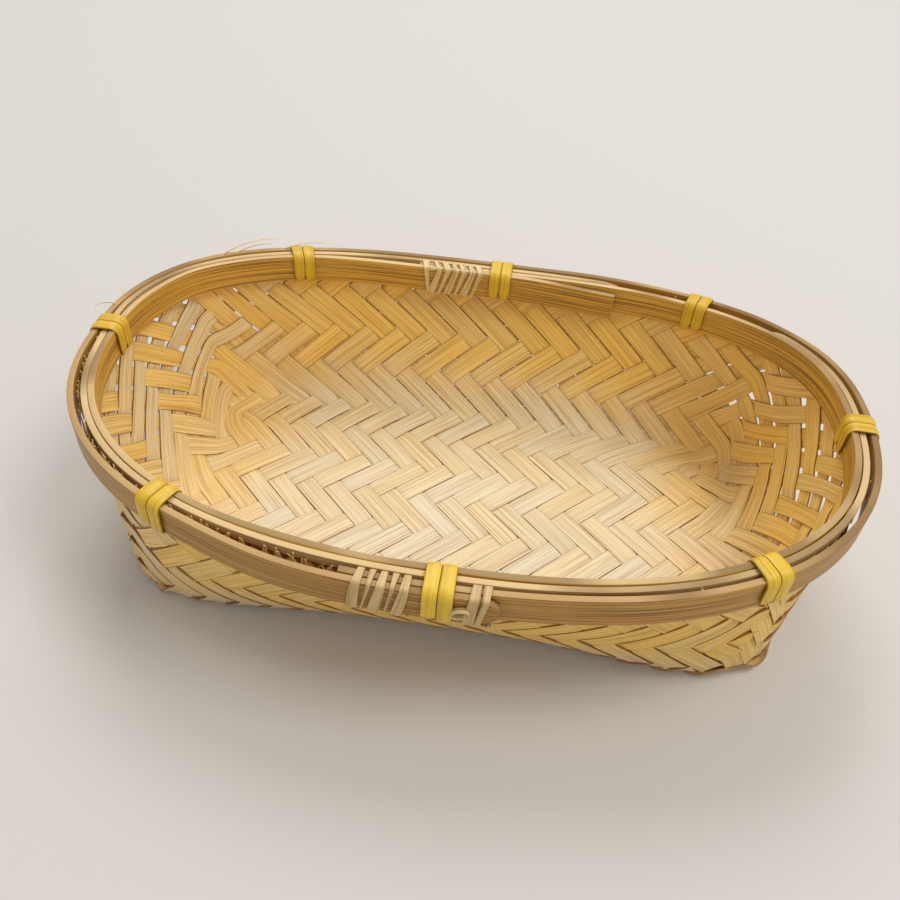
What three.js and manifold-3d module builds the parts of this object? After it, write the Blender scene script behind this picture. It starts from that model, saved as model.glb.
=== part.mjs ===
// Small oval bamboo tray: a twill mat of split bamboo pinched between two bent hoops,
// with a thin strip covering its cut edge, cane ties through the weave, and fine
// lashings round the places where each hoop overlaps itself.
// Millimetres, +Z up, +X along the tray, standing on z = 0 with the middle at the origin.
import * as THREE from 'three';
import { mergeVertices } from 'three/addons/utils/BufferGeometryUtils.js';
import Module from 'manifold-3d';

// Outline of the woven mat where the hoops pinch it, and of the flat of its floor. The
// floor's corners run out into feet, further at the front, where the mat was pulled harder.
const rimLength = 240.2;
const rimWidth = 153;
const rimSquareness = 2.48;
const floorLength = 184;
const floorWidth = 86;
const floorSquareness = 5;
const frontFootReach = { along: 0.2, across: 0.36 };
const backFootReach = { along: 0.12, across: 0.15 };
const footSharpness = 3;

// Heights. The rim rises towards the two ends of the tray.
const rimHeightAtSides = 55.5;
const rimHeightAtEnds = 63;
const wallCurve = 2.1;

// Stock the tray is made from.
const matThickness = 1.6;
const hoopHeight = 10;
const hoopThickness = 2;
const coverHeight = 3;
const coverThickness = 1.6;
const caneWidth = 3.8;
const caneThickness = 0.9;
const lashingThickness = 0.4;
const wideTurn = 3;
const narrowTurn = 1.5;

// Clearances between pieces that touch on the bench.
const seatGap = 0.3;
const hoopGap = 1;
const layerGap = 0.45;
const turnGap = 0.35;

// Where things sit round the rim, in degrees from +X towards +Y.
const tieAngles = [359, 53.2, 88.8, 125, 179.2, 232.2, 270.5, 312.2];
const innerHoopStart = 103.8;
const innerHoopOverlap = 36;
const outerHoopStart = 258;
const outerHoopOverlap = 20;
const layerStepAngle = 20;
const freeEndDroop = 1.8;
const coverStart = 67.8;
const coverSweep = 330;
const lashingClearance = { start: 106, sweep: -28 };
const backLashing = { from: 103.2, to: 92.6, turns: 7 };
const frontLashing = { from: 260, to: 267.2, turns: 5 };
const frontEndLashing = { from: 274.4, to: 277, turns: 2 };

// The weave, counted in strip pitches: a runs to the right and forwards, b to the right and
// backwards, and each strip passes over three and under three. The mat folds up at four
// crossings. The wall over them unrolls into one band: s runs round the floor and v up the
// wall, both in diagonals of the weave's cells. Each side of the band starts at a crossing,
// and lists the weave's steps along it and up it, and the rim angle over its start.
const pitch = 7.4;
const diagonal = pitch * Math.SQRT2;
const weaveMiddle = { a: 7.823, b: 1.994 };
const floatCells = 3;
const sides = [
  { corner: [-4, -4], along: [1, 1], up: [-1, 1], rimAngle: 147 },
  { corner: [13, 14], along: [1, -1], up: [1, 1], rimAngle: 36.5 },
  { corner: [21, 5], along: [-1, -1], up: [1, -1], rimAngle: -45.3 },
  { corner: [4, -12], along: [-1, 1], up: [-1, -1], rimAngle: -137.8 },
];
const weaveReach = 40;
const grooveDepth = 0.4;
const grooveHalfWidth = 0.5;
const flatEnough = 0.7;

// Fineness of the curved faces.
const rimSteps = 720;
const wallSteps = 24;
const hoopStep = 4;
const cornerRadius = 0.5;

const mod = (value, size) => ((value % size) + size) % size;
const radians = THREE.MathUtils.degToRad;
const smooth = (t) => THREE.MathUtils.smoothstep(t, 0, 1);

// Rounded oval whose corners fill out as its squareness grows from 2.
function ovalPoint(length, width, squareness, angle) {
  const c = Math.cos(angle);
  const s = Math.sin(angle);
  const reach = (Math.abs(c) ** squareness + Math.abs(s) ** squareness) ** (-1 / squareness);
  return new THREE.Vector2(length * reach * c, width * reach * s).divideScalar(2);
}

// Point of the outline at a level of the wall: 0 at the edge of the floor, 1 at the rim.
function outlinePoint(level, angle) {
  const foot = Math.abs(Math.sin(2 * angle)) ** footSharpness;
  const { along, across } = Math.sin(angle) < 0 ? frontFootReach : backFootReach;
  const reach = new THREE.Vector2(1 + along * foot, 1 + across * foot);
  const floor = ovalPoint(floorLength, floorWidth, floorSquareness, angle).multiply(reach);
  const rim = ovalPoint(rimLength, rimWidth, rimSquareness, angle);
  return floor.lerp(rim, level);
}

function rimTop(angle) {
  const mean = (rimHeightAtSides + rimHeightAtEnds) / 2;
  const rise = (rimHeightAtEnds - rimHeightAtSides) / 2;
  return mean + rise * Math.cos(2 * angle);
}

// Frame on the rim at a distance along it from an angle: the point on the middle of the mat,
// the way out, the way along and the height of the hoops' top edge.
function rimFrame(angleDegrees, along = 0) {
  const nudge = 1e-4;
  const speedAt = (a) => outlinePoint(1, a + nudge).sub(outlinePoint(1, a - nudge)).length() / (2 * nudge);
  const start = radians(angleDegrees);
  const angle = start + along / speedAt(start);
  const point = outlinePoint(1, angle);
  const ahead = outlinePoint(1, angle + nudge).sub(outlinePoint(1, angle - nudge)).normalize();
  return { point, ahead, out: new THREE.Vector2(ahead.y, -ahead.x), top: rimTop(angle) };
}

function rimPoint(frame, outward, height) {
  return new THREE.Vector3(
    frame.point.x + frame.out.x * outward,
    frame.point.y + frame.out.y * outward,
    height,
  );
}

function geometryFrom(points, faces) {
  const geometry = new THREE.BufferGeometry();
  geometry.setAttribute('position', new THREE.Float32BufferAttribute(points.flatMap((p) => p.toArray()), 3));
  geometry.setIndex(faces.flat());
  return geometry;
}

// A closed bar through a run of four-cornered sections, each listed the same way round.
function barThrough(sections) {
  const points = sections.flat();
  const faces = [];
  for (let i = 0; i + 1 < sections.length; i += 1) {
    for (let k = 0; k < 4; k += 1) {
      const a = 4 * i + k;
      const b = 4 * i + ((k + 1) % 4);
      faces.push([a, b, b + 4], [a, b + 4, a + 4]);
    }
  }
  const last = 4 * (sections.length - 1);
  faces.push([0, 2, 1], [0, 3, 2], [last, last + 1, last + 2], [last, last + 2, last + 3]);
  const geometry = geometryFrom(points, faces);
  if (signedVolume(geometry) < 0) {
    geometry.setIndex(faces.map(([a, b, c]) => [a, c, b]).flat());
  }
  return geometry;
}

function signedVolume(geometry) {
  const at = geometry.getAttribute('position');
  const index = geometry.getIndex();
  const corner = (k) => new THREE.Vector3().fromBufferAttribute(at, index.getX(k));
  let volume = 0;
  for (let k = 0; k < index.count; k += 3) {
    volume += corner(k).dot(corner(k + 1).cross(corner(k + 2))) / 6;
  }
  return volume;
}

// Woven mat. The middle of its thickness is a bowl over the floor's outline, whose top
// band stands upright between the hoops.
const matTopDrop = coverHeight + 2 * seatGap;

function pinchHeight(angle) {
  return rimTop(angle) - hoopHeight;
}

// Halves the span from low to high until the value where goesUp turns from true to false.
function bisect(low, high, goesUp, steps = 24) {
  for (let i = 0; i < steps; i += 1) {
    const middle = (low + high) / 2;
    if (goesUp(middle)) {
      low = middle;
    } else {
      high = middle;
    }
  }
  return (low + high) / 2;
}

function angleTowards(level, bearing) {
  const quarter = Math.floor(bearing / (Math.PI / 2)) * (Math.PI / 2);
  return bisect(quarter, quarter + Math.PI / 2, (angle) => {
    const plan = outlinePoint(level, angle);
    return mod(Math.atan2(plan.y, plan.x) - bearing + Math.PI, 2 * Math.PI) < Math.PI;
  });
}

function overPlan(plan) {
  const bearing = Math.atan2(plan.y, plan.x);
  const reachAt = (level) => outlinePoint(level, angleTowards(level, bearing)).length();
  const level = plan.length() <= reachAt(0) ? 0 : bisect(0, 1, (l) => reachAt(l) < plan.length(), 16);
  const angle = angleTowards(level, bearing);
  const rise = (pinchHeight(angle) - matThickness / 2) * level ** wallCurve;
  return new THREE.Vector3(plan.x, plan.y, matThickness / 2 + rise);
}

function weavePlan(a, b) {
  const x = b - weaveMiddle.b + (a - weaveMiddle.a);
  const y = b - weaveMiddle.b - (a - weaveMiddle.a);
  return new THREE.Vector2(x, y).multiplyScalar(pitch / Math.SQRT2);
}

// Lengths and rises of the band's sides, and where each starts along it, up it and
// along the rim.
let bandLength = 0;
let bandFoot = 0;
sides.forEach((side, k) => {
  const next = sides[(k + 1) % 4].corner;
  side.step = [next[0] - side.corner[0], next[1] - side.corner[1]];
  side.length = (side.step[0] * side.along[0] + side.step[1] * side.along[1]) / 2;
  side.rise = (side.step[0] * side.up[0] + side.step[1] * side.up[1]) / 2;
  side.start = bandLength;
  side.foot = bandFoot;
  bandLength += side.length;
  bandFoot += side.rise;
});

const rimRun = [0];
const rimAngleAt = (i) => radians(sides[0].rimAngle) - (2 * Math.PI * i) / rimSteps;
for (let i = 1; i <= rimSteps; i += 1) {
  rimRun.push(rimRun[i - 1] + outlinePoint(1, rimAngleAt(i)).distanceTo(outlinePoint(1, rimAngleAt(i - 1))));
}
const rimRunTo = (angle) => rimRun[Math.round(((sides[0].rimAngle - angle) / 360) * rimSteps)];
sides.forEach((side, k) => {
  side.rimStart = rimRunTo(side.rimAngle);
  side.rimEnd = k === 3 ? rimRun[rimSteps] : rimRunTo(sides[k + 1].rimAngle);
});

function sideAt(s) {
  return sides.findLast((side) => side.start <= mod(s, bandLength));
}

// Heights of a crossing over the foot of a side that is carried straight on.
function pastSide(side, a, b) {
  const offset = [a - side.corner[0], b - side.corner[1]];
  const s = (offset[0] * side.along[0] + offset[1] * side.along[1]) / 2;
  const v = (offset[0] * side.up[0] + offset[1] * side.up[1]) / 2;
  return { s: side.start + s, v: side.foot + v, past: v - (side.rise * s) / side.length };
}

function toWeave(s, v) {
  const side = sideAt(s);
  const ahead = mod(s, bandLength) - side.start;
  return [0, 1].map((i) => side.corner[i] + ahead * side.along[i] + (v - side.foot) * side.up[i]);
}

// Points up the wall over one place of the band, from the floor's edge to above the rim.
const columns = new Map();

function wallColumn(s) {
  const key = mod(s, bandLength);
  if (!columns.has(key)) {
    const side = sideAt(key);
    const share = (key - side.start) / side.length;
    const foot = weavePlan(side.corner[0] + side.step[0] * share, side.corner[1] + side.step[1] * share);
    const run = side.rimStart + (side.rimEnd - side.rimStart) * share;
    const i = Math.min(rimRun.findLastIndex((length) => length <= run), rimSteps - 1);
    const rim = outlinePoint(1, rimAngleAt(i + (run - rimRun[i]) / (rimRun[i + 1] - rimRun[i])));
    const points = [];
    for (let k = 0; k <= wallSteps; k += 1) {
      points.push(overPlan(foot.clone().lerp(rim, k / wallSteps)));
    }
    points.push(points[wallSteps].clone().setZ(2 * rimHeightAtEnds));
    const walked = [0];
    points.slice(1).forEach((p, k) => walked.push(walked[k] + p.distanceTo(points[k])));
    columns.set(key, { points, walked, base: side.foot + side.rise * share });
  }
  return columns.get(key);
}

function wallPoint(s, v) {
  const { points, walked, base } = wallColumn(s);
  const climb = (v - base) * diagonal;
  const k = Math.min(Math.max(walked.findLastIndex((length) => length <= climb), 0), wallSteps);
  return points[k].clone().lerp(points[k + 1], (climb - walked[k]) / (walked[k + 1] - walked[k]));
}

// Crossings of the weave, each with its place on the middle of the mat. A crossing inside
// the floor's edge goes by its weave place, and one beyond it by its place on the band.
const crossings = new Map();
const onFloor = (a, b) => sides.every((side) => pastSide(side, a, b).past <= 1e-9);

function crossing(key, place) {
  if (!crossings.has(key)) {
    crossings.set(key, { key, at: place(), normal: new THREE.Vector3() });
  }
  return crossings.get(key);
}

function weaveCrossing(a, b) {
  if (onFloor(a, b)) {
    return crossing(`floor ${a} ${b}`, () => overPlan(weavePlan(a, b)));
  }
  const beyond = sides.map((side) => pastSide(side, a, b)).sort((p, q) => q.past - p.past)[0];
  return bandCrossing(beyond.s, beyond.v);
}

function bandCrossing(s, v) {
  const side = sideAt(s);
  const share = (mod(s, bandLength) - side.start) / side.length;
  if (v - side.foot - side.rise * share <= 1e-9) {
    const [a, b] = toWeave(s, v);
    return crossing(`floor ${a} ${b}`, () => overPlan(weavePlan(a, b)));
  }
  return crossing(`wall ${mod(s, bandLength)} ${v}`, () => wallPoint(s, v));
}

// One cell of the weave: its crossings the way round that runs against the clock seen from
// inside the tray, from the one that starts the left edge of the strip that shows inside.
function weaveCell(corners, a, b, aIsFirst) {
  const aShows = mod(Math.floor(a) - Math.floor(b), 2 * floatCells) < floatCells;
  const turned = aShows === aIsFirst ? corners : [...corners.slice(1), corners[0]];
  const normal = corners[2].at.clone().sub(corners[0].at).cross(corners[3].at.clone().sub(corners[1].at));
  corners.forEach((corner) => corner.normal.add(normal));
  return turned;
}

function weaveCells() {
  const cells = [];
  for (let a = -weaveReach; a < weaveReach; a += 1) {
    for (let b = -weaveReach; b < weaveReach; b += 1) {
      if (onFloor(a + 0.5, b + 0.5)) {
        const corners = [[a, b], [a + 1, b], [a + 1, b + 1], [a, b + 1]];
        cells.push(weaveCell(corners.map(([p, q]) => weaveCrossing(p, q)), a, b, true));
      }
      sides.forEach((side, k) => {
        const { s, v, past } = pastSide(side, a + 0.5, b + 0.5);
        if (s < side.start || s >= side.start + side.length || past <= 1e-9) {
          return;
        }
        const corners = [[s + 0.5, v], [s, v + 0.5], [s - 0.5, v], [s, v - 0.5]];
        if (bandCrossing(...corners[3]).at.z < rimHeightAtEnds - matTopDrop) {
          cells.push(weaveCell(corners.map(([p, q]) => bandCrossing(p, q)), a, b, k % 2 === 0));
        }
      });
    }
  }
  return cells;
}

// Runs of cells over which one strip shows without a break, each as the crossings along
// its left edge and those along its right edge.
function floatsOf(cells) {
  const cellsEndingAt = new Map();
  const edgeKey = (p, q) => [p.key, q.key].sort().join(' to ');
  cells.forEach((cell, i) => {
    for (const key of [edgeKey(cell[3], cell[0]), edgeKey(cell[1], cell[2])]) {
      cellsEndingAt.set(key, [...(cellsEndingAt.get(key) ?? []), i]);
    }
  });
  const used = new Set();
  const turnRound = (cell) => [cell[2], cell[3], cell[0], cell[1]];
  const walkFrom = (cell) => {
    const run = [cell];
    for (;;) {
      const last = run.at(-1);
      const next = cellsEndingAt.get(edgeKey(last[1], last[2])).find((i) => !used.has(i));
      if (next === undefined) {
        return run;
      }
      used.add(next);
      run.push(cells[next][0] === last[1] ? cells[next] : turnRound(cells[next]));
    }
  };
  const floats = [];
  cells.forEach((cell, i) => {
    if (used.has(i)) {
      return;
    }
    used.add(i);
    const onward = walkFrom(cell);
    const back = walkFrom(turnRound(cell)).slice(1).reverse().map(turnRound);
    const run = [...back, ...onward];
    floats.push({
      left: [run[0][0], ...run.map((c) => c[1])],
      right: [run[0][3], ...run.map((c) => c[2])],
    });
  });
  return floats;
}

// Stations of a float's raised face: pairs of points inside its edges, at every second
// crossing and at both ends. A float that lies flat needs only the pair at each end, and
// one that bends up behind the inner hoop needs them all.
function raisedPairs({ left, right }, height) {
  const middles = left.map((p, i) => p.at.clone().lerp(right[i].at, 0.5));
  const last = middles.length - 1;
  const chord = new THREE.Line3(middles[0], middles[last]);
  const off = middles.map((p) => chord.closestPointToPoint(p, true, new THREE.Vector3()).distanceTo(p));
  const flat = Math.max(...off) < flatEnough;
  const meetsHoop = height > 0 && [...left, ...right].some((spot) => spot.pinched);
  const step = meetsHoop ? 1 : flat ? last : 2;
  const pairs = [];
  for (let i = 0; i <= last; i += 1) {
    if (i < last && i % step > 0) {
      continue;
    }
    const normal = left[i].normal.clone().add(right[i].normal).normalize();
    const across = right[i].at.clone().sub(left[i].at).setLength(grooveHalfWidth);
    const inward = new THREE.Vector3();
    if (i === 0 || i === last) {
      inward.copy(middles[i === 0 ? 1 : last - 1]).sub(middles[i]).setLength(grooveHalfWidth);
    }
    const lift = inward.addScaledVector(normal, height);
    pairs.push({ i, left: left[i].at.clone().add(across).add(lift), right: right[i].at.clone().sub(across).add(lift) });
  }
  return pairs;
}

// Mat of even thickness, with a groove along every edge of every strip on both faces. What
// the hoops hide is left plain.
function matGeometry() {
  const cells = weaveCells();
  const points = [];
  const faces = [];
  const put = (p) => points.push(p) - 1;
  for (const spot of crossings.values()) {
    const rimAngle = angleTowards(1, Math.atan2(spot.at.y, spot.at.x));
    spot.pinched = spot.at.z > pinchHeight(rimAngle) + layerGap;
    spot.normal.normalize();
    const half = matThickness / 2 - (spot.pinched ? 0 : grooveDepth);
    spot.inside = put(spot.at.clone().addScaledVector(spot.normal, half));
    spot.outside = put(spot.at.clone().addScaledVector(spot.normal, -half));
  }
  const hidden = (cell) => cell.every((spot) => spot.pinched);
  const showing = cells.filter((cell) => !hidden(cell));
  for (const [a, b, c, d] of cells.filter(hidden)) {
    faces.push([a.inside, b.inside, c.inside], [a.inside, c.inside, d.inside]);
    faces.push([a.outside, c.outside, b.outside], [a.outside, d.outside, c.outside]);
  }
  const addFloat = (float, face, height, add) => {
    const pairs = raisedPairs(float, height).map(({ i, left, right }) => ({ i, left: put(left), right: put(right) }));
    const left = float.left.map((spot) => spot[face]);
    const right = float.right.map((spot) => spot[face]);
    const first = pairs[0];
    const last = pairs.at(-1);
    add(right[0], left[0], first.left);
    add(right[0], first.left, first.right);
    add(left[last.i], right[last.i], last.right);
    add(left[last.i], last.right, last.left);
    for (let k = 0; k + 1 < pairs.length; k += 1) {
      const here = pairs[k];
      const next = pairs[k + 1];
      const half = Math.floor((here.i + next.i) / 2);
      add(here.left, next.left, next.right);
      add(here.left, next.right, here.right);
      add(left[half], next.left, here.left);
      add(right[half], here.right, next.right);
      for (let i = here.i; i < next.i; i += 1) {
        const near = i < half ? here : next;
        add(left[i], left[i + 1], near.left);
        add(right[i + 1], right[i], near.right);
      }
    }
  };
  for (const float of floatsOf(showing)) {
    addFloat(float, 'inside', matThickness / 2, (a, b, c) => faces.push([a, b, c]));
  }
  const crossed = showing.map(([a, b, c, d]) => [b, c, d, a]);
  for (const float of floatsOf(crossed)) {
    addFloat(float, 'outside', -matThickness / 2, (a, b, c) => faces.push([a, c, b]));
  }
  const edges = new Map();
  for (const cell of cells) {
    cell.forEach((spot, i) => edges.set(`${spot.key} to ${cell[(i + 1) % 4].key}`, [spot, cell[(i + 1) % 4]]));
  }
  for (const [from, to] of edges.values()) {
    if (!edges.has(`${to.key} to ${from.key}`)) {
      faces.push([to.inside, from.inside, from.outside], [to.inside, from.outside, to.outside]);
    }
  }
  return geometryFrom(points, faces);
}

// A hoop bent from one flat strip. Past a full turn it runs over its own start, stepped
// away from the mat by its thickness, and its free end may hang a little low.
function hoopSections({ start, sweep, side, firstFace, thickness, height, drop = 0, overlap = 0, droop = 0 }) {
  const direction = Math.sign(sweep);
  const steps = Math.ceil(Math.abs(sweep) / hoopStep);
  const step = overlap > 0 ? thickness + layerGap : 0;
  const sections = [];
  for (let i = 0; i <= steps; i += 1) {
    const travelled = (Math.abs(sweep) * i) / steps;
    const frame = rimFrame(start + direction * travelled);
    const past = smooth((travelled - 360 + layerStepAngle) / layerStepAngle);
    const near = firstFace + step * past;
    const far = near + thickness;
    const sag = droop > 0 ? droop * smooth((travelled - 360 - overlap / 2) / (overlap / 2)) : 0;
    const top = frame.top - drop - sag;
    const bottom = top - height;
    sections.push([
      rimPoint(frame, side * near, bottom),
      rimPoint(frame, side * far, bottom),
      rimPoint(frame, side * far, top),
      rimPoint(frame, side * near, top),
    ]);
  }
  return sections;
}

const hoopFirstFace = matThickness / 2 + hoopGap;

// How far a hoop's last face stands from the mat at an angle, counting its overlap.
function hoopLastFace({ start, sweep, overlap }, angle) {
  const direction = Math.sign(sweep);
  const past = mod(direction * (angle - start), 360);
  const before = past - (360 - layerStepAngle);
  const doubled = past <= overlap ? 1 : smooth(before / layerStepAngle);
  return hoopFirstFace + hoopThickness + doubled * (hoopThickness + layerGap);
}

const innerHoop = {
  start: innerHoopStart,
  sweep: -(360 + innerHoopOverlap),
  side: -1,
  overlap: innerHoopOverlap,
  droop: freeEndDroop,
};
const outerHoop = {
  start: outerHoopStart,
  sweep: 360 + outerHoopOverlap,
  side: 1,
  overlap: outerHoopOverlap,
};

function hoopGeometry(hoop) {
  return barThrough(hoopSections({
    ...hoop,
    firstFace: hoopFirstFace,
    thickness: hoopThickness,
    height: hoopHeight,
  }));
}

function coverGeometry() {
  return barThrough(hoopSections({
    start: coverStart,
    sweep: coverSweep,
    side: 1,
    firstFace: -coverThickness / 2,
    thickness: coverThickness,
    height: coverHeight,
    drop: seatGap,
  }));
}

// Stops of one turn round a rectangle across the rim, with its corners rounded. A turn
// starts at the lower outer corner, goes up, over the top, down the inner side and back
// under. Each stop has its share of the turn, its point and the way off the face.
function turnStops(box) {
  const width = box.outer - box.inner - 2 * cornerRadius;
  const height = box.top - box.bottom - 2 * cornerRadius;
  const middle = new THREE.Vector2((box.outer + box.inner) / 2, (box.top + box.bottom) / 2);
  const total = 2 * (width + height) + 2 * Math.PI * cornerRadius;
  const stops = [];
  let walked = 0;
  let corner = new THREE.Vector2(width / 2, -height / 2);
  const put = (angle) => {
    const off = new THREE.Vector2(Math.cos(angle), Math.sin(angle));
    stops.push({ share: walked / total, at: corner.clone().addScaledVector(off, cornerRadius).add(middle), off });
  };
  for (let side = 0; side < 4; side += 1) {
    const length = side % 2 === 0 ? height : width;
    const facing = (side * Math.PI) / 2;
    const way = new THREE.Vector2(-Math.sin(facing), Math.cos(facing));
    put(facing);
    corner = corner.clone().addScaledVector(way, length / 2);
    walked += length / 2;
    put(facing);
    corner = corner.clone().addScaledVector(way, length / 2);
    walked += length / 2;
    put(facing);
    walked += (Math.PI / 4) * cornerRadius;
    put(facing + Math.PI / 4);
    walked += (Math.PI / 4) * cornerRadius;
  }
  return stops;
}

const stopsPerTurn = 16;

// Flat strip wound round the rim as one unbroken ribbon, a whole number of stops long.
function windingSections({ angle, stopCount, box, along, width, thickness }) {
  const stops = turnStops(box);
  const sections = [];
  for (let i = 0; i <= stopCount; i += 1) {
    const { share, at, off } = stops[i % stopsPerTurn];
    const turn = Math.floor(i / stopsPerTurn) + share;
    const half = width(turn) / 2;
    const corners = [];
    for (const [side, lift] of [[-1, 0], [1, 0], [1, thickness], [-1, thickness]]) {
      const frame = rimFrame(angle, along(turn) + side * half);
      corners.push(rimPoint(frame, at.x + off.x * lift, frame.top + at.y + off.y * lift));
    }
    sections.push(corners);
  }
  return sections;
}

// Least distance between parts of a winding that are at least half a turn apart.
function leastGap(sections) {
  let least = Infinity;
  const edge = (a, b, share) => a.clone().lerp(b, share);
  const spots = sections.map((s) => [0, 0.5, 1].flatMap((share) => [edge(s[0], s[1], share), edge(s[3], s[2], share)]));
  for (let i = 0; i < spots.length; i += 1) {
    for (let j = i + stopsPerTurn / 2; j < spots.length; j += 1) {
      for (const p of spots[i]) {
        for (const q of spots[j]) {
          least = Math.min(least, p.distanceTo(q));
        }
      }
    }
  }
  return least;
}

// Cane tie: two turns side by side round both hoops, through the weave below them.
// The strip crosses from the first turn to the second on the underside.
function tieSections(angle) {
  const box = {
    inner: -hoopLastFace(innerHoop, angle) - seatGap,
    outer: hoopLastFace(outerHoop, angle) + seatGap,
    top: seatGap,
    bottom: -hoopHeight - seatGap,
  };
  const shift = caneWidth + turnGap;
  const underside = turnStops(box)[12].share;
  const along = (turn) => {
    const whole = Math.floor(turn);
    return shift * (whole - 0.5 + smooth((turn - whole - underside) / (1 - underside)));
  };
  return windingSections({
    angle,
    stopCount: stopsPerTurn + 12,
    box,
    along,
    width: () => caneWidth,
    thickness: caneThickness,
  });
}

// Lashing: a finer strip spiralling round the two layers of one hoop, with wide and
// narrow turns by turns.
function lashingSections({ from, to, turns }, hoop) {
  const angle = (from + to) / 2;
  const reach = rimFrame(from).point.distanceTo(rimFrame(to).point);
  const near = hoop.side * (hoopFirstFace - seatGap);
  const far = hoop.side * (hoopLastFace(hoop, angle) + seatGap);
  const box = {
    inner: Math.min(near, far),
    outer: Math.max(near, far),
    top: seatGap,
    bottom: -hoopHeight - seatGap,
  };
  const direction = Math.sign(to - from);
  return windingSections({
    angle,
    stopCount: turns * stopsPerTurn,
    box,
    along: (turn) => direction * reach * (turn / turns - 0.5),
    width: (turn) => (wideTurn + narrowTurn) / 2 + ((wideTurn - narrowTurn) / 2) * Math.cos(Math.PI * turn),
    thickness: lashingThickness,
  });
}

// Slots in the mat where a tie passes through it, a seat gap wider than the strip.
function tieSlot(angle) {
  const reach = caneWidth + turnGap / 2 + seatGap;
  const sections = [];
  for (const along of [-reach, 0, reach]) {
    const frame = rimFrame(angle, along);
    const top = frame.top - hoopHeight;
    const bottom = top - caneThickness - 2 * seatGap;
    sections.push([
      rimPoint(frame, -hoopHeight / 2, bottom),
      rimPoint(frame, hoopHeight / 2, bottom),
      rimPoint(frame, hoopHeight / 2, top),
      rimPoint(frame, -hoopHeight / 2, top),
    ]);
  }
  return barThrough(sections);
}

// Clears the mat's upright band from the back lashing and the inner hoop's overlap.
function lashingPocket() {
  return barThrough(hoopSections({
    ...lashingClearance,
    side: -1,
    firstFace: matThickness / 2 + 0.1,
    thickness: hoopThickness,
    height: hoopHeight + lashingThickness + 2 * seatGap,
    drop: 0,
  }));
}

// The upright band's top is cut level, just under the strip that covers it.
function topCut(start) {
  const height = 2 * hoopHeight;
  return barThrough(hoopSections({
    start,
    sweep: 184,
    side: 1,
    firstFace: -hoopGap - matThickness,
    thickness: 2 * (hoopGap + matThickness),
    height,
    drop: matTopDrop - height,
  }));
}

const wasm = await Module();
wasm.setup();

function toSolid(geometry) {
  const bare = mergeVertices(geometry);
  return new wasm.Manifold(new wasm.Mesh({
    numProp: 3,
    vertProperties: Float32Array.from(bare.getAttribute('position').array),
    triVerts: Uint32Array.from(bare.getIndex().array),
  }));
}

function fromSolid(solid) {
  const mesh = solid.getMesh();
  const geometry = new THREE.BufferGeometry();
  geometry.setAttribute('position', new THREE.BufferAttribute(Float32Array.from(mesh.vertProperties), 3));
  geometry.setIndex(Array.from(mesh.triVerts));
  return geometry;
}

const bamboo = new THREE.MeshStandardMaterial({ color: 0xe3cb93, roughness: 0.6, metalness: 0 });
const hoopBamboo = new THREE.MeshStandardMaterial({ color: 0xcfa65c, roughness: 0.55, metalness: 0 });
const cane = new THREE.MeshStandardMaterial({ color: 0xe3bd22, roughness: 0.4, metalness: 0 });

const tray = new THREE.Group();

function add(name, geometry, material) {
  const mesh = new THREE.Mesh(geometry, material);
  mesh.name = name;
  tray.add(mesh);
}

let mat = toSolid(matGeometry());
for (const cut of [topCut(0), topCut(180), lashingPocket(), ...tieAngles.map(tieSlot)]) {
  mat = mat.subtract(toSolid(cut));
}
add('woven_mat', fromSolid(mat), bamboo);
add('inner_hoop', hoopGeometry(innerHoop), hoopBamboo);
add('outer_hoop', hoopGeometry(outerHoop), hoopBamboo);
add('edge_cover_strip', coverGeometry(), bamboo);

const windings = tieAngles.map((angle, i) => [`cane_tie_${i + 1}`, tieSections(angle), cane]);
windings.push(['back_lashing', lashingSections(backLashing, innerHoop), bamboo]);
windings.push(['front_lashing', lashingSections(frontLashing, outerHoop), bamboo]);
windings.push(['front_end_lashing', lashingSections(frontEndLashing, outerHoop), bamboo]);
for (const [name, sections, material] of windings) {
  console.log(`${name}: least gap between turns ${leastGap(sections).toFixed(2)} mm`);
  add(name, barThrough(sections), material);
}

// The hoops' overlaps leave the tray a little off centre, so it is moved to the middle.
const middle = new THREE.Box3().setFromObject(tray).getCenter(new THREE.Vector3());
for (const mesh of tray.children) {
  mesh.geometry.translate(-middle.x, -middle.y, 0);
}
console.log(`moved by ${(-middle.x).toFixed(3)}, ${(-middle.y).toFixed(3)} mm to the middle`);

export default tray;
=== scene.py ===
"""Small oval bamboo tray, dressed over its CAD frame: single woven strips, bent hoops,
cane ties, lashings and loose fibres. Metres, +Z up, standing on z = 0."""

import math

import bpy
import numpy as np
from mathutils import Matrix, Vector


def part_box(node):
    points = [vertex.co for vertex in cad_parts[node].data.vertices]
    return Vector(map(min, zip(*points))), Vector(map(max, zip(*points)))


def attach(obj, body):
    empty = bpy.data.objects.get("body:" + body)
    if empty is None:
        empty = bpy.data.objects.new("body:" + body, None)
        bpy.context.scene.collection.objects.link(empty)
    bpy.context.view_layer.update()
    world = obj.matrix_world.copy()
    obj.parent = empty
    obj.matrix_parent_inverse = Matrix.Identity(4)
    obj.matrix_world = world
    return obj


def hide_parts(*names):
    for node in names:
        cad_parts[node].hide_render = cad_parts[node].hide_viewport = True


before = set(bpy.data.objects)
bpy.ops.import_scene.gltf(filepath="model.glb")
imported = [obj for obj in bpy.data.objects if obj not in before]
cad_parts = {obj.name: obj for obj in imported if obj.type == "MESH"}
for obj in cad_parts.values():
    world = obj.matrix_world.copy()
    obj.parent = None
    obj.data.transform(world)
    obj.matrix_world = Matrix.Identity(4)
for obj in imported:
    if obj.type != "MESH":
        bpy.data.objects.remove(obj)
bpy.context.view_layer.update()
bpy.ops.object.select_all(action="DESELECT")

MM = 0.001
chance = np.random.default_rng(7)

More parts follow.
